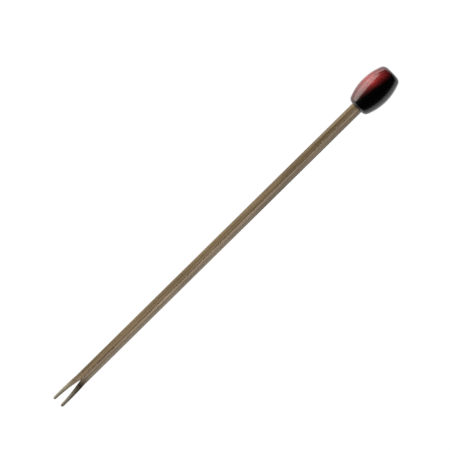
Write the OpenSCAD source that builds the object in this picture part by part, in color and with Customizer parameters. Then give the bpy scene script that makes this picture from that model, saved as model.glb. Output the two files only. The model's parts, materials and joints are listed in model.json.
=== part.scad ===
// A pair of straight wooden knitting needles lying side by side, with their plain
// ends pushed into one turned barrel head. The head and both needles lie on a flat
// surface: the head rests on its widest circle, each needle on its shoulder.
// +X runs along the needles to the head, +Z is up, and the origin is on the surface
// under the middle of the pair.

/* [Needles] */
// Whole length, from the points to the flat end of the head
total_len = 250; // [200:10:350]
// Diameter of a needle's straight shaft
shaft_d = 3.25; // [2.5:0.25:4.5]
// Gap between the two shafts
shaft_gap = 0.05; // [0.05:0.05:0.5]

/* [Points] */
// Length of the tapered point, from its tip to the shoulder
point_len = 17.3; // [12:0.1:24]
// Diameter of the rounded tip
tip_d = 1.7; // [1.2:0.1:2]
// How far each tip is sprung outward from its own shaft's axis
tip_splay = 1.15; // [0:0.05:2]
// How hollow the taper is: 1 is a straight cone, more is slimmer near the tip
taper_power = 1.35; // [1:0.05:2]

/* [Head] */
// Diameter of the barrel head at its middle
head_d = 17.4; // [15:0.2:20]
// Length of the barrel head
head_len = 26.4; // [22:0.2:32]
// Radius of the bulge along the head
bulge_r = 29.5; // [26:0.5:40]
// Radius of the rounded edge round each flat end
edge_r = 3.2; // [1:0.1:3.6]
// Depth of the socket that holds the needles' plain ends
socket_depth = 20; // [16:1:22]
// Width of the slit that joins the socket's two round halves
socket_slit = 1.2; // [0.8:0.1:1.6]
// Radius and depth of the lathe centre mark in the far end face
centre_mark = [0.9, 0.5];

/* [Fit] */
// Radial clearance between a needle and its half of the socket
socket_clear = 0.04; // [0.02:0.01:0.06]
// Clearance left at the bottom of the socket
bottom_clear = 0.3; // [0.2:0.1:1]

/* [Hidden] */
$fn = 96;
shaft_r = shaft_d / 2;
socket_r = shaft_r + socket_clear;
head_r = head_d / 2;
half_spacing = (shaft_d + shaft_gap) / 2;
head_start = total_len - head_len;
head_mid = total_len - head_len / 2;
needle_end = head_start + socket_depth - bottom_clear;

// The line through the resting shoulder and the head's bulge sets the slope of the pair.
rest_run = head_mid - point_len;
rest_rise = bulge_r - head_r + shaft_r;
slope = asin(bulge_r / norm([rest_run, rest_rise])) - atan2(rest_rise, rest_run);
lift = shaft_r * cos(slope) - point_len * sin(slope);

// The rounded edge is an arc that touches both the bulge and the flat end.
edge_x = head_len / 2 - edge_r;
edge_turn = asin(edge_x / (bulge_r - edge_r));
flat_r = head_r - bulge_r + (bulge_r - edge_r) * cos(edge_turn);
middle_x = (total_len * cos(slope) + flat_r * sin(slope)) / 2;

// Radius and outward offset of the point, at a distance s from its tip.
function point_r(s) = tip_d / 2 + (shaft_d - tip_d) / 2 * pow(s / point_len, taper_power);
function point_offset(s) = tip_splay * (1 - pow(s / point_len, 2));

// The head's outline as [distance along the head from its middle, radius].
function bulge_points(steps) = [
    for (i = [-steps : steps]) let (a = edge_turn * i / steps)
        [bulge_r * sin(a), head_r - bulge_r * (1 - cos(a))]
];
function edge_points(side, steps) = [
    for (i = [1 : steps]) let (a = edge_turn + (90 - edge_turn) * i / steps)
        [side * (edge_x + edge_r * sin(a)), flat_r + edge_r * cos(a)]
];
function reversed(list) = [for (i = [len(list) - 1 : -1 : 0]) list[i]];

// Lays a shape built along +X, tips at 0, on the surface in its place.
module lay() {
    translate([-middle_x, 0, lift]) rotate([0, -slope, 0]) children();
}

// A round bar along +X.
module bar(from, to, r) {
    translate([from, 0, 0]) rotate([0, 90, 0]) cylinder(h = to - from, r = r);
}

// A thin slice of the point: the ball at its tip, or a disc further up.
module point_slice(s, side) {
    translate([s, side * point_offset(s), 0])
        if (s <= tip_d / 2) sphere(d = tip_d, $fn = 32);
        else rotate([0, 90, 0]) cylinder(h = 0.01, r = point_r(s), $fn = 32);
}

module needle(side) {
    steps = 6;
    first = tip_d / 2;
    along = [for (i = [0 : steps]) first + (point_len - first) * i / steps];
    lay() translate([0, side * half_spacing, 0]) {
        bar(point_len, needle_end, shaft_r);
        for (i = [0 : steps - 1])
            hull() {
                point_slice(along[i], side);
                point_slice(along[i + 1], side);
            }
    }
}

module barrel_head() {
    outline = concat(
        [[-head_len / 2, 0]],
        reversed(edge_points(-1, 6)),
        bulge_points(16),
        edge_points(1, 6),
        [[head_len / 2, 0]]
    );
    color("#4a1216") lay() difference() {
        translate([head_mid, 0, 0]) rotate([0, 90, 0])
            rotate_extrude($fn = 128) polygon([for (p = outline) [p[1], p[0]]]);
        for (side = [-1, 1]) translate([0, side * half_spacing, 0])
            bar(head_start - 1, head_start + socket_depth, socket_r);
        translate([head_start - 1, -half_spacing, -socket_slit / 2])
            cube([socket_depth + 1, 2 * half_spacing, socket_slit]);
        translate([total_len - centre_mark[1], 0, 0]) rotate([0, 90, 0])
            cylinder(h = centre_mark[1] + 0.01, r1 = 0.2, r2 = centre_mark[0]);
    }
}

module left_needle() {
    color("#7d7058") needle(1);
}

module right_needle() {
    color("#8a7d6b") needle(-1);
}

barrel_head();
left_needle();
right_needle();
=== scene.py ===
"""A pair of straight wooden knitting needles held in one glossy barrel head.

The needles lie along X with their points at -X. The shapes are built in the pair's own
frame, s along the needles from the tips, w across and h up, and laid on the floor at the
slope and place that the CAD frame gives.
"""
import json
import math

import bmesh
import bpy
from mathutils import Matrix, Vector

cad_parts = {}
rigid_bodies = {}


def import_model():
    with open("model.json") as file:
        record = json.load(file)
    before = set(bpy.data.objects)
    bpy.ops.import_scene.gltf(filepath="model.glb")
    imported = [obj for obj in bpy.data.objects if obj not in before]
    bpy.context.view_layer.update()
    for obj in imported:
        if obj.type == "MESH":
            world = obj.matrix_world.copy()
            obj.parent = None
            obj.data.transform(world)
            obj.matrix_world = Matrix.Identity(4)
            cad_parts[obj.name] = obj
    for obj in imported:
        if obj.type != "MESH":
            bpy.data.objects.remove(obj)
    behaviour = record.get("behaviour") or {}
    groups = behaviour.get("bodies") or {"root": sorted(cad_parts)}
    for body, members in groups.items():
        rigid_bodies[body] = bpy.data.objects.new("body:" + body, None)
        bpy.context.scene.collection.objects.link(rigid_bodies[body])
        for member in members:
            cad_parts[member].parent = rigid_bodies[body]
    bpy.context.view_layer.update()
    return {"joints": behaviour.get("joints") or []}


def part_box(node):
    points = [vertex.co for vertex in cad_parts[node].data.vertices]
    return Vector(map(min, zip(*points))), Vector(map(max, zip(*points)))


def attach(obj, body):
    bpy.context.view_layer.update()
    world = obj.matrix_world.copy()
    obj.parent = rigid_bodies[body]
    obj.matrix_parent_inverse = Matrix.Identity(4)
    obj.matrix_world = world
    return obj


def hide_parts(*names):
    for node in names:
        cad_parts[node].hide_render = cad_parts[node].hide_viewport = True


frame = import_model()

MM = 0.001

# The needles, in millimetres.
TOTAL_LEN = 250.0
SHAFT_R = 1.625
SHAFT_GAP = 0.05
POINT_LEN = 17.3
TIP_R = 0.85
TIP_SPLAY = 1.15
TAPER_POWER = 1.35

# The barrel head, in millimetres.
HEAD_R = 8.7
HEAD_LEN = 26.4
BULGE_R = 29.5
EDGE_R = 3.2
SOCKET_R = 1.665
SOCKET_DEPTH = 20.0
SOCKET_SLIT = 1.2
MOUTH_BEVEL = 0.1
BOTTOM_CLEAR = 0.3
MARK_DEPTH = 0.5
MARK_TIP_R = 0.18

# How much larger the visual shafts are in radius than the CAD's, in millimetres, so that no
# floor shows between them; the length over which they grow to it; and their two waves.
SHAFT_SWELL = 0.018
SWELL_RUN = 10
LONG_WAVE = 0.0020
SHORT_WAVE = 0.0015

HALF_SPACING = SHAFT_R + SHAFT_GAP / 2
HEAD_START = TOTAL_LEN - HEAD_LEN
HEAD_MID = TOTAL_LEN - HEAD_LEN / 2
NEEDLE_END = HEAD_START + SOCKET_DEPTH - BOTTOM_CLEAR

# The slope comes from the needles' joint axis, which points from the head to the tips.
draw_axis = Vector(frame["joints"][0]["axis"]).normalized()
SLOPE = math.asin(-draw_axis.z)


def pair_matrix():
    """Carries the pair's own frame, in millimetres, into the row frame, in metres."""
    low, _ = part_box("left_needle")
    tip_x = low[0] + TIP_R * MM * (1 - math.cos(SLOPE))
    lift = (SHAFT_R * math.cos(SLOPE) - POINT_LEN * math.sin(SLOPE)) * MM
    place = Matrix.Translation((tip_x, 0, lift))
    return place @ Matrix.Rotation(-SLOPE, 4, "Y") @ Matrix.Scale(MM, 4)


PAIR = pair_matrix()


# ---------------------------------------------------------------- node helpers


class Nodes:
    """A material's node tree, with short calls for the nodes it is built from."""

    def __init__(self, name):
        self.material = bpy.data.materials.new(name)
        self.material.use_nodes = True
        self.tree = self.material.node_tree
        self.shader = self.tree.nodes["Principled BSDF"]

    def link(self, source, target):
        self.tree.links.new(source, target)

    def node(self, kind, **values):
        made = self.tree.nodes.new(kind)
        for key, value in values.items():
            setattr(made, key, value)
        return made

    def coords(self, scale, offset):
        """Object coordinates, turned to run along the needles, then scaled."""
        where = self.node("ShaderNodeTexCoord")
        level = self.node("ShaderNodeMapping")
        level.inputs["Rotation"].default_value = (0, SLOPE, 0)
        sized = self.node("ShaderNodeMapping")
        sized.inputs["Scale"].default_value = scale
        sized.inputs["Location"].default_value = offset
        self.link(where.outputs["Object"], level.inputs["Vector"])
        self.link(level.outputs["Vector"], sized.inputs["Vector"])
        return sized.outputs["Vector"]

    def noise(self, scale, offset, detail=4.0, roughness=0.55, distortion=0.0):
        made = self.node("ShaderNodeTexNoise")
        made.inputs["Scale"].default_value = 1.0
        made.inputs["Detail"].default_value = detail
        made.inputs["Roughness"].default_value = roughness
        made.inputs["Distortion"].default_value = distortion
        self.link(self.coords(scale, offset), made.inputs["Vector"])
        return made.outputs["Fac"]

    def ramp(self, value, stops):
        made = self.node("ShaderNodeValToRGB")
        band = made.color_ramp
        while len(band.elements) < len(stops):
            band.elements.new(0.5)
        for element, (place, colour) in zip(band.elements, stops):
            element.position = place
            element.color = (*colour, 1.0)
        self.link(value, made.inputs["Fac"])
        return made.outputs["Color"]

    def multiply(self, amount, colour, tint):
        """The colour times the tint, mixed in by an amount from 0 to 1."""
        made = self.node("ShaderNodeMix", data_type="RGBA", blend_type="MULTIPLY")
        made.inputs["Factor"].default_value = amount
        self.link(colour, made.inputs["A"])
        self.link(tint, made.inputs["B"])
        return made.outputs["Result"]

    def spread(self, value, low, high):
        """Maps 0..1 to low..high, for roughness and masks."""
        made = self.node("ShaderNodeMapRange")
        made.inputs["To Min"].default_value = low
        made.inputs["To Max"].default_value = high
        self.link(value, made.inputs["Value"])
        return made.outputs["Result"]

    def product(self, first, second):
        """Two masks multiplied, kept within 0..1."""
        made = self.node("ShaderNodeMath", operation="MULTIPLY", use_clamp=True)
        self.link(first, made.inputs[0])
        self.link(second, made.inputs[1])
        return made.outputs["Value"]

    def fade(self, direction, low, high):
        """How far a point lies along a direction: low..high mapped to 0..1, soft ends."""
        where = self.node("ShaderNodeTexCoord")
        reach = self.node("ShaderNodeVectorMath", operation="DOT_PRODUCT")
        reach.inputs[1].default_value = direction
        made = self.node("ShaderNodeMapRange", interpolation_type="SMOOTHSTEP")
        made.inputs["From Min"].default_value = low
        made.inputs["From Max"].default_value = high
        self.link(where.outputs["Object"], reach.inputs[0])
        self.link(reach.outputs["Value"], made.inputs["Value"])
        return made.outputs["Result"]

    def bump(self, height, strength, distance):
        made = self.node("ShaderNodeBump")
        made.inputs["Strength"].default_value = strength
        made.inputs["Distance"].default_value = distance
        self.link(height, made.inputs["Height"])
        return made.outputs["Normal"]


# How far from the seam the painted side shading reaches, in metres across the pair.
SIDE_SHADING_WIDTH = 0.0034

# The stretch along X that the points' pale tone and painted shadow are spread over, in metres.
# They have faded out before the end of it.
POINT_MARK_FROM = -0.124
POINT_MARK_TO = -0.098

# The left needle: olive wood with a paler point. The point's tone and the painted side shading
# multiply the shades.
LEFT_SHADES = ((0.135, 0.098, 0.056), (0.215, 0.159, 0.096), (0.31, 0.24, 0.165))
LEFT_STAINS = ((2.05, 2.50, 3.40), (2.00, 2.40, 3.00), (1.08, 1.14, 1.26))
# Painted side shading: the outer side darker, lighter towards the seam and most at it.
LEFT_SIDE_SHADING = ((0.70, 0.70, 0.69), (1.10, 1.07, 1.02), (1.65, 1.60, 1.52))

# The right needle: greyer wood, with a painted shadow on its point, darkest near the shoulder,
# where the left needle's shade falls at the fork.
RIGHT_SHADES = ((0.118, 0.095, 0.069), (0.193, 0.157, 0.120), (0.285, 0.235, 0.187))
RIGHT_POINT_SHADOW = ((0.72, 0.80, 0.80), (0.40, 0.43, 0.36), (0.12, 0.11, 0.08))
# Painted side shading: the outer side lighter, and lightest at the seam.
RIGHT_SIDE_SHADING = ((1.20, 1.22, 1.25), (1.12, 1.08, 1.03), (1.60, 1.53, 1.44))


def wood(name, side, seed, shades, point_tone_and_shadow, side_shading):
    """Satin wood with long drifting streaks, fibre lines and short pores along it.

    The shades are its dark, middle and light wood. The point steps colour the point in three
    steps, from its tip to its shoulder: a paler tone on the left needle, a painted shadow on the
    right. The side shading is painted light and shade for the outer side, the inner side, and
    the line nearest the other needle, which it lightens against the shade of the crease.
    """
    dark, middle, light = shades
    n = Nodes(name)
    streaks = n.noise((9, 620, 620), (seed, seed, 0), detail=3.0, distortion=0.6)
    colour = n.ramp(streaks, [(0.30, dark), (0.48, middle), (0.68, light)])
    drift = n.noise((26, 240, 240), (seed + 3, 0, seed), detail=2.0)
    tint = n.ramp(drift, [(0.35, (0.80, 0.79, 0.76)), (0.65, (1.12, 1.10, 1.06))])
    colour = n.multiply(1.0, colour, tint)
    fibres = n.noise((110, 5200, 5200), (0, seed, seed), detail=5.0, roughness=0.7)
    lines = n.ramp(fibres, [(0.36, (0.72, 0.69, 0.64)), (0.55, (1.04, 1.04, 1.04))])
    colour = n.multiply(0.8, colour, lines)
    pores = n.noise((520, 7800, 7800), (seed, 1, 2), detail=1.0)
    specks = n.ramp(pores, [(0.27, (0.50, 0.44, 0.36)), (0.33, (1, 1, 1))])
    colour = n.multiply(0.7, colour, specks)
    # Painted light and shade across the needle, lightest at the line nearest the other needle,
    # where the crease's shade falls.
    towards_seam = n.fade((0, side, 0), SIDE_SHADING_WIDTH, 0.0)
    painted_side_shading = n.ramp(towards_seam, list(zip((0.15, 0.78, 0.98), side_shading)))
    colour = n.multiply(1.0, colour, painted_side_shading)
    # Along the point: a paler tone on the left needle, and a painted shadow on the right needle
    # where the other needle's shade falls near the fork.
    up_the_point = n.fade((1, 0, 0), POINT_MARK_FROM, POINT_MARK_TO)
    steps = list(zip((0.02, 0.30, 0.56), point_tone_and_shadow))
    point_tone_and_shade = n.ramp(up_the_point, steps + [(0.87, (1, 1, 1))])
    colour = n.multiply(1.0, colour, point_tone_and_shade)
    n.link(colour, n.shader.inputs["Base Color"])
    n.link(n.spread(fibres, 0.48, 0.66), n.shader.inputs["Roughness"])
    n.link(n.bump(fibres, 0.25, 0.00006), n.shader.inputs["Normal"])
    n.shader.inputs["Specular IOR Level"].default_value = 0.15
    return n.material


# The painted red glow on the lacquer's lit side: the direction in which it fades in across the
# head, then, in metres, how far along that direction it does, how far up, and where along X its
# brightness changes.
GLOW_ACROSS = (0.17, 1, 0)
GLOW_EDGE = (0.0186, 0.0262)
GLOW_HEIGHT = (0.0080, 0.0145)
GLOW_LENGTH = (0.0985, 0.1250)


def grey(level):
    return (level, level, level)


def lacquer(name):
    """Near-black cherry gloss lacquer, with a painted red glow on its lit side.

    The painted glow is on the upper half of the +Y side, towards the softbox, and widens towards
    the far end.
    """
    n = Nodes(name)
    side = n.fade(GLOW_ACROSS, *GLOW_EDGE)
    top = n.fade((0, 0, 1), *GLOW_HEIGHT)
    painted_glow = n.product(side, top)
    clouds = n.noise((60, 170, 170), (0.35, 0.2, 1.4), detail=3.0, distortion=0.5)
    painted_glow = n.product(painted_glow, n.spread(clouds, 0.7, 1.3))
    # Near-black lacquer outside the painted glow, red within it.
    colour = n.ramp(
        painted_glow,
        [
            (0.00, (0.0008, 0.0003, 0.0004)),
            (0.25, (0.1100, 0.0080, 0.0085)),
            (0.60, (0.2300, 0.0180, 0.0180)),
        ],
    )
    # Along X the painted glow is dim near the shaft end, brightest past the middle, and darkened
    # at the far end.
    along = n.fade((1, 0, 0), *GLOW_LENGTH)
    steps = ((0.1, 0.45), (0.62, 1.3), (0.92, 0.72), (1.0, 0.25))
    glow_along = n.ramp(along, [(place, grey(level)) for place, level in steps])
    colour = n.multiply(1.0, colour, glow_along)
    mottle = n.noise((800, 1100, 1100), (1, 2, 3), detail=2.0, roughness=0.7)
    specks = n.ramp(mottle, [(0.36, (0.55, 0.50, 0.50)), (0.62, (1.25, 1.2, 1.2))])
    colour = n.multiply(0.8, colour, specks)
    grain = n.noise((95, 1900, 1900), (2, 5, 1), detail=4.0, roughness=0.65)
    lines = n.ramp(grain, [(0.35, (0.70, 0.66, 0.66)), (0.62, (1.12, 1.1, 1.1))])
    n.link(n.multiply(0.75, colour, lines), n.shader.inputs["Base Color"])
    n.link(n.spread(grain, 0.40, 0.52), n.shader.inputs["Roughness"])
    swell = n.noise((160, 160, 160), (4, 0, 3), detail=2.0)
    n.link(n.bump(swell, 0.10, 0.0006), n.shader.inputs["Coat Normal"])
    n.shader.inputs["Specular IOR Level"].default_value = 0.05
    n.shader.inputs["Coat Weight"].default_value = 1.0
    n.shader.inputs["Coat Roughness"].default_value = 0.18
    n.shader.inputs["Coat IOR"].default_value = 1.48
    return n.material


# ---------------------------------------------------------------- shapes


def finish_mesh(name, mesh, material, sharp_angle=40):
    """Adds a mesh built in the pair's frame to the scene, smooth except at real edges."""
    mesh.transform(PAIR)
    mesh.polygons.foreach_set("use_smooth", [True] * len(mesh.polygons))
    mesh.set_sharp_from_angle(angle=math.radians(sharp_angle))
    piece = bpy.data.objects.new(name, mesh)
    bpy.context.collection.objects.link(piece)
    piece.data.materials.append(material)
    return piece


def lathe(name, rings, sides):
    """Skins rings of (s, radius, w offset) that circle X; a ring of radius 0 is one point."""
    bm = bmesh.new()
    loops = []
    turn = [2 * math.pi * k / sides for k in range(sides)]
    for s, radius, offset in rings:
        if radius == 0:
            loops.append([bm.verts.new((s, offset, 0))])
            continue
        loops.append(
            [bm.verts.new((s, offset + radius * math.cos(a), radius * math.sin(a))) for a in turn]
        )
    for first, second in zip(loops, loops[1:]):
        for k in range(sides):
            after = (k + 1) % sides
            corners = [first[k % len(first)], first[after % len(first)],
                       second[after % len(second)], second[k % len(second)]]
            bm.faces.new(list(dict.fromkeys(corners)))
    bmesh.ops.recalc_face_normals(bm, faces=bm.faces)
    mesh = bpy.data.meshes.new(name)
    bm.to_mesh(mesh)
    bm.free()
    return mesh


def point_radius(s):
    return TIP_R + (SHAFT_R - TIP_R) * (s / POINT_LEN) ** TAPER_POWER


def point_offset(s):
    return TIP_SPLAY * (1 - (s / POINT_LEN) ** 2)


def shaft_radius(s, side):
    """The shaft swells from the shoulder on, and waves a little like hand-sanded wood."""
    long_wave = LONG_WAVE * math.sin(s * 0.21 + side)
    short_wave = SHORT_WAVE * math.sin(s * 0.57 + 2 * side)
    swell = SHAFT_SWELL + (long_wave + short_wave)
    return SHAFT_R + swell * min(1.0, (s - POINT_LEN) / SWELL_RUN)


def needle_rings(side):
    """The needle from its rounded tip, along the sprung point and shaft, to its butt end."""
    middle = side * HALF_SPACING
    rings = []
    cap_steps = 8
    for k in range(cap_steps):
        a = math.pi / 2 * k / cap_steps
        rings.append((TIP_R * (1 - math.cos(a)), TIP_R * math.sin(a), middle + side * TIP_SPLAY))
    point_steps = 40
    for k in range(point_steps):
        s = TIP_R + (POINT_LEN - TIP_R) * k / point_steps
        rings.append((s, point_radius(s), middle + side * point_offset(s)))
    shaft_steps = 120
    butt_round = 0.3
    for k in range(shaft_steps + 1):
        s = POINT_LEN + (NEEDLE_END - butt_round - POINT_LEN) * k / shaft_steps
        rings.append((s, shaft_radius(s, side), middle))
    for back, inset in ((0.08, 0.1), (0, 0.32)):
        rings.append((NEEDLE_END - back, SHAFT_R - inset, middle))
    rings.append((NEEDLE_END, 0, middle))
    return rings


def head_rings():
    """The barrel: flat end, rounded edge, long bulge, rounded edge, flat end."""
    edge_x = HEAD_LEN / 2 - EDGE_R
    edge_turn = math.asin(edge_x / (BULGE_R - EDGE_R))
    flat_r = HEAD_R - BULGE_R + (BULGE_R - EDGE_R) * math.cos(edge_turn)
    half = [(HEAD_LEN / 2, 0), (HEAD_LEN / 2, flat_r * 0.35), (HEAD_LEN / 2, flat_r * 0.8)]
    edge_steps = 14
    for k in range(edge_steps):
        a = math.pi / 2 - (math.pi / 2 - edge_turn) * k / edge_steps
        half.append((edge_x + EDGE_R * math.sin(a), flat_r + EDGE_R * math.cos(a)))
    bulge_steps = 36
    for k in range(bulge_steps + 1):
        a = edge_turn * (1 - k / bulge_steps)
        half.append((BULGE_R * math.sin(a), HEAD_R - BULGE_R * (1 - math.cos(a))))
    whole = [(-x, r) for x, r in half] + [(x, r) for x, r in reversed(half[:-1])]
    return [(HEAD_MID + x, r, 0) for x, r in whole]


def cut(mesh, cutters):
    """The mesh with each cutter's solid taken away."""
    target = bpy.data.objects.new("cut_target", mesh)
    bpy.context.collection.objects.link(target)
    for index, cutter in enumerate(cutters):
        tool = bpy.data.objects.new("cut_tool", cutter)
        bpy.context.collection.objects.link(tool)
        modifier = target.modifiers.new(f"cut{index}", "BOOLEAN")
        modifier.operation = "DIFFERENCE"
        modifier.solver = "EXACT"
        modifier.object = tool
    depsgraph = bpy.context.evaluated_depsgraph_get()
    result = bpy.data.meshes.new_from_object(target.evaluated_get(depsgraph))
    for leftover in [o for o in bpy.data.objects if o.name.startswith("cut_t")]:
        bpy.data.objects.remove(leftover)
    return result


def slit_cutter():
    """The slit that joins the socket's two halves: a box that starts just outside the head."""
    bm = bmesh.new()
    bmesh.ops.create_cube(bm, size=1.0)
    size = (SOCKET_DEPTH + 1, 2 * HALF_SPACING, SOCKET_SLIT)
    bmesh.ops.scale(bm, vec=size, verts=bm.verts)
    bmesh.ops.translate(bm, vec=(HEAD_START + (SOCKET_DEPTH - 1) / 2, 0, 0), verts=bm.verts)
    mesh = bpy.data.meshes.new("slit")
    bm.to_mesh(mesh)
    bm.free()
    return mesh


def socket_rings(side):
    """One round half of the blind socket, with a bevelled mouth."""
    middle = side * HALF_SPACING
    bottom = HEAD_START + SOCKET_DEPTH
    return [
        (HEAD_START - 1.0, 0, middle),
        (HEAD_START - 1.0, SOCKET_R + MOUTH_BEVEL, middle),
        (HEAD_START, SOCKET_R + MOUTH_BEVEL, middle),
        (HEAD_START + MOUTH_BEVEL * 2, SOCKET_R, middle),
        (bottom, SOCKET_R, middle),
        (bottom, 0, middle),
    ]


def centre_mark_rings():
    """The lathe's cone-shaped mark in the far end; its wide end is just outside the face."""
    outside = TOTAL_LEN + 0.1
    wide_r = 1.0
    return [
        (TOTAL_LEN - MARK_DEPTH, 0, 0),
        (TOTAL_LEN - MARK_DEPTH, MARK_TIP_R, 0),
        (outside, wide_r, 0),
        (outside, 0, 0),
    ]


def make_needle(body, side, material):
    name = f"{body}_shaft"
    piece = finish_mesh(name, lathe(name, needle_rings(side), 48), material)
    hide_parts(f"{body}_needle")
    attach(piece, body)


def make_head(material):
    round_cuts = (socket_rings(1), socket_rings(-1), centre_mark_rings())
    cutters = [lathe("cutter", rings, 96) for rings in round_cuts]
    body = cut(lathe("head_body", head_rings(), 160), cutters + [slit_cutter()])
    piece = finish_mesh("barrel_head_turned", body, material, sharp_angle=32)
    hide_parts("barrel_head")
    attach(piece, "head")


# ---------------------------------------------------------------- the studio


def floor():
    """A wide pale floor that glows like a light table, more towards the main light."""
    just_below = (0, 0, -0.0001)
    bpy.ops.mesh.primitive_plane_add(size=6.0, location=just_below)
    ground = bpy.context.object
    ground.name = "floor"
    n = Nodes("pale_floor")
    n.shader.inputs["Base Color"].default_value = (0.12, 0.12, 0.12, 1)
    n.shader.inputs["Roughness"].default_value = 0.9
    n.shader.inputs["Specular IOR Level"].default_value = 0.1
    n.shader.inputs["Emission Color"].default_value = (1, 1, 1, 1)
    towards_key = n.fade((0, 1, 0), 0.01, 0.14)
    n.link(n.spread(towards_key, 0.93, 4.0), n.shader.inputs["Emission Strength"])
    ground.data.materials.append(n.material)


def area_light(name, place, aim, size, power, colour=(1, 1, 1)):
    data = bpy.data.lights.new(name, "AREA")
    data.shape = "ELLIPSE"
    data.size, data.size_y = size
    data.energy = power
    data.color = colour
    light = bpy.data.objects.new(name, data)
    light.location = place
    painted_side_shading = Vector(aim) - Vector(place)
    light.rotation_euler = painted_side_shading.to_track_quat("-Z", "Y").to_euler()
    bpy.context.collection.objects.link(light)
    return light


def studio():
    """A warm softbox low on the +Y side, a broad fill above that is hidden from reflections,
    and a faint cool world light.
    """
    middle = (0, 0, 0.01)
    warm = (1.0, 0.97, 0.93)
    area_light("side_softbox", (-0.06, 0.75, 0.27), middle, (1.15, 0.62), 8.4, warm)
    fill = area_light("top_fill", (-0.1, -0.25, 1.1), middle, (1.2, 1.2), 11.0)
    fill.visible_glossy = False
    world = bpy.data.worlds.new("studio")
    world.use_nodes = True
    world.node_tree.nodes["Background"].inputs["Color"].default_value = (0.9, 0.95, 1.0, 1)
    world.node_tree.nodes["Background"].inputs["Strength"].default_value = 0.01
    bpy.context.scene.world = world
    bpy.context.scene.view_settings.view_transform = "Standard"
    bpy.context.scene.view_settings.look = "None"


# The camera looks almost straight down, from a little to the -Y side, and is rolled so that
# the needles rise to the right. The picture's centre is a little above the pair's middle, and
# a little nearer the head. The distance, the width and both shifts are in metres.
ELEVATION = math.radians(88.5)
NEEDLES_RISE = math.radians(44.56)
CAMERA_DISTANCE = 1.6
FRAME_WIDTH = 0.23933
CENTRE_UP = 0.0067
CENTRE_ALONG = 0.0004


def camera():
    out = Vector((0, -math.cos(ELEVATION), math.sin(ELEVATION)))
    level_right = Vector((1, 0, 0))
    level_up = out.cross(level_right)
    along = -draw_axis
    roll = NEEDLES_RISE - math.atan2(along.dot(level_up), along.dot(level_right))
    right = level_right * math.cos(roll) - level_up * math.sin(roll)
    up = level_right * math.sin(roll) + level_up * math.cos(roll)
    head_end = PAIR @ Vector((TOTAL_LEN, 0, 0))
    tips = PAIR @ Vector((0, 0, 0))
    aim = (head_end + tips) / 2 + up * CENTRE_UP + along * CENTRE_ALONG
    data = bpy.data.cameras.new("camera")
    data.lens = data.sensor_width * CAMERA_DISTANCE / FRAME_WIDTH
    data.clip_start = 0.01
    eye = bpy.data.objects.new("camera", data)
    turn = Matrix((right, up, out)).transposed().to_4x4()
    eye.matrix_world = Matrix.Translation(aim + out * CAMERA_DISTANCE) @ turn
    bpy.context.collection.objects.link(eye)
    bpy.context.scene.camera = eye


camera()
floor()
studio()
make_head(lacquer("cherry_lacquer"))
left_wood = wood("olive_wood", 1, 1.0, LEFT_SHADES, LEFT_STAINS, LEFT_SIDE_SHADING)
right_wood = wood("grey_wood", -1, 7.0, RIGHT_SHADES, RIGHT_POINT_SHADOW, RIGHT_SIDE_SHADING)
make_needle("left", 1, left_wood)
make_needle("right", -1, right_wood)
